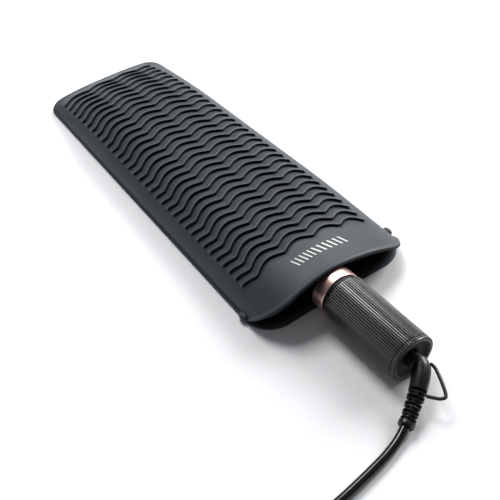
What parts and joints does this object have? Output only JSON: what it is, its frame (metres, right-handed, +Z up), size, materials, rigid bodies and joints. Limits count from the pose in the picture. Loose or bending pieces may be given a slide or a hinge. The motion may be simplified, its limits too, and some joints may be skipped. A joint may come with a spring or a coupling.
{
  "type": "curling iron",
  "caption": "Round curling iron with a side-opening spring clamp, lying in an open-mouthed ribbed silicone heat sleeve, with a swivelling mains lead wound in a tied coil.",
  "frame": {"origin": "on the table, under the middle of the iron and its sleeve, the lead left out", "axes": "+X along the iron towards its lead, +Y the side on which the clamp opens, +Z up"},
  "size_m": [0.5669, 0.2703, 0.037],
  "materials": {
    "silicone": "satin dark grey silicone with raised scalloped ribs",
    "black_satin": "satin black moulded plastic",
    "black_gloss": "gloss black",
    "soft_black": "matt black",
    "relief_black": "satin black flexible vinyl",
    "cord_black": "gloss black vinyl jacket",
    "rose_gold": "polished rose gold plating",
    "ceramic": "smooth dark ceramic coating",
    "aluminium": "machined",
    "steel": "bright",
    "brass": "bright",
    "insulator": "matt white",
    "board_green": "solder mask"
  },
  "bodies": {
    "iron": {"grip_shell": "black_satin", "seal_ring": "soft_black", "rose_gold_ring": "rose_gold", "end_cap": "black_satin", "inner_frame_upper": "soft_black", "inner_frame_lower": "soft_black", "frame_screw_front": "steel", "frame_screw_back": "steel", "housing_upper": "black_satin", "housing_lower": "black_satin", "housing_screw_front": "steel", "housing_screw_back": "steel", "control_board": "board_green", "display_module": "insulator", "display_lens": "black_gloss", "thermal_fuse": "steel", "barrel_tube": "ceramic", "heat_collar": "black_satin", "heater_core_upper": "aluminium", "heater_core_lower": "aluminium", "heater_plate": "insulator", "thermistor": "steel", "cool_tip": "soft_black", "tip_screw": "steel", "clamp_bracket": "steel", "clamp_pin": "steel", "clamp_spring": "steel", "swivel_bearing": "soft_black", "brush_outer": "brass", "brush_inner": "brass"},
    "clamp": {"clamp_spoon": "ceramic", "clamp_lever": "steel", "clamp_rivet_front": "steel", "clamp_rivet_back": "steel", "thumb_rest": "soft_black"},
    "power_key": {"power_button": "black_gloss"},
    "plus_key": {"plus_button": "black_gloss"},
    "minus_key": {"minus_button": "black_gloss"},
    "cord_swivel": {"swivel_stem": "soft_black", "contact_ring_outer": "brass", "contact_ring_inner": "brass", "strain_relief": "relief_black", "hanging_loop": "relief_black", "cord_lead": "cord_black", "cord_coil": "cord_black", "cord_tie": "soft_black", "cord_tail": "cord_black", "plug_body": "relief_black", "plug_blade_left": "brass", "plug_blade_right": "brass"},
    "sleeve": {"sleeve_upper_sheet": "silicone", "sleeve_lower_sheet": "silicone"}
  },
  "joints": [
    {"name": "clamp_hinge", "type": "hinge", "parent": "iron", "child": "clamp", "pos_m": [0.047, 0.0042, 0.0175], "axis": [0, 0, -1], "range_deg": [0, 11], "stiffness_Nm_per_rad": 0.25, "springref_deg": -11.46},
    {"name": "power_press", "type": "slide", "parent": "iron", "child": "power_key", "axis": [0, 0, -1], "range_m": [0, 0.0005], "stiffness_N_per_m": 300, "springref_m": -0.0005},
    {"name": "plus_press", "type": "slide", "parent": "iron", "child": "plus_key", "axis": [0, 0, -1], "range_m": [0, 0.0005], "stiffness_N_per_m": 300, "springref_m": -0.0005},
    {"name": "minus_press", "type": "slide", "parent": "iron", "child": "minus_key", "axis": [0, 0, -1], "range_m": [0, 0.0005], "stiffness_N_per_m": 300, "springref_m": -0.0005},
    {"name": "cord_swivel_turn", "type": "hinge", "parent": "iron", "child": "cord_swivel", "pos_m": [0.2115, -0.0098, 0.0175], "axis": [1, 0, 0], "continuous": true},
    {"name": "sleeve_slide", "type": "slide", "parent": "iron", "child": "sleeve", "axis": [-1, 0, 0], "range_m": [0, 0.3]}
  ]
}
